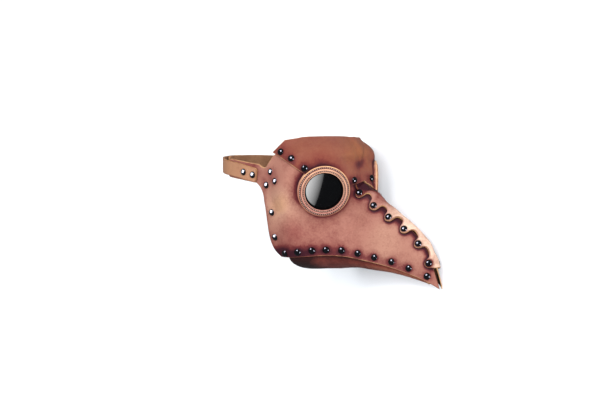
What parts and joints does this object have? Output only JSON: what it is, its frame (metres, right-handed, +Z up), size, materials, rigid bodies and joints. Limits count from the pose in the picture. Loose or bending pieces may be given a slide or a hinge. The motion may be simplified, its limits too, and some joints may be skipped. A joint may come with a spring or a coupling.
{
  "type": "leather plague doctor mask",
  "caption": "Leather face mask with a long down-curved beak, round tinted lenses in raised rings, a riveted scalloped ridge strip and straps round the back of the head.",
  "frame": {"origin": "on the ground under the middle of the mask as it lies on its left side", "axes": "+Z up from the ground, +X roughly from the straps to the face, -Y roughly towards the tip of the beak"},
  "size_m": [0.3078, 0.252, 0.1853],
  "materials": {
    "body_leather": "satin, tan shaded to purple-brown at edges and seams",
    "strap_leather": "satin light tan",
    "rivet_metal": "polished",
    "lens_tinted": "glossy, tinted nearly black"
  },
  "bodies": {
    "root": {"beak_ridge_strip": "body_leather", "eye_ring_left": "body_leather", "eye_ring_right": "body_leather", "forehead_panel": "body_leather", "lens_left": "lens_tinted", "lens_right": "lens_tinted", "rivet_forehead_left_1": "rivet_metal", "rivet_forehead_left_2": "rivet_metal", "rivet_forehead_left_3": "rivet_metal", "rivet_forehead_left_4": "rivet_metal", "rivet_forehead_right_1": "rivet_metal", "rivet_forehead_right_2": "rivet_metal", "rivet_forehead_right_3": "rivet_metal", "rivet_forehead_right_4": "rivet_metal", "rivet_ridge_left_1": "rivet_metal", "rivet_ridge_left_2": "rivet_metal", "rivet_ridge_left_3": "rivet_metal", "rivet_ridge_left_4": "rivet_metal", "rivet_ridge_left_5": "rivet_metal", "rivet_ridge_left_6": "rivet_metal", "rivet_ridge_right_1": "rivet_metal", "rivet_ridge_right_2": "rivet_metal", "rivet_ridge_right_3": "rivet_metal", "rivet_ridge_right_4": "rivet_metal", "rivet_ridge_right_5": "rivet_metal", "rivet_ridge_right_6": "rivet_metal", "rivet_seam_left_1": "rivet_metal", "rivet_seam_left_10": "rivet_metal", "rivet_seam_left_2": "rivet_metal", "rivet_seam_left_3": "rivet_metal", "rivet_seam_left_4": "rivet_metal", "rivet_seam_left_5": "rivet_metal", "rivet_seam_left_6": "rivet_metal", "rivet_seam_left_7": "rivet_metal", "rivet_seam_left_8": "rivet_metal", "rivet_seam_left_9": "rivet_metal", "rivet_seam_right_1": "rivet_metal", "rivet_seam_right_10": "rivet_metal", "rivet_seam_right_2": "rivet_metal", "rivet_seam_right_3": "rivet_metal", "rivet_seam_right_4": "rivet_metal", "rivet_seam_right_5": "rivet_metal", "rivet_seam_right_6": "rivet_metal", "rivet_seam_right_7": "rivet_metal", "rivet_seam_right_8": "rivet_metal", "rivet_seam_right_9": "rivet_metal", "rivet_strap_back_1": "rivet_metal", "rivet_strap_back_2": "rivet_metal", "rivet_strap_left_1": "rivet_metal", "rivet_strap_left_2": "rivet_metal", "rivet_strap_right_1": "rivet_metal", "rivet_strap_right_2": "rivet_metal", "side_panel_left": "body_leather", "side_panel_right": "body_leather", "strap_left": "strap_leather", "strap_right": "strap_leather", "underside_gusset": "body_leather"}
  },
  "joints": []
}
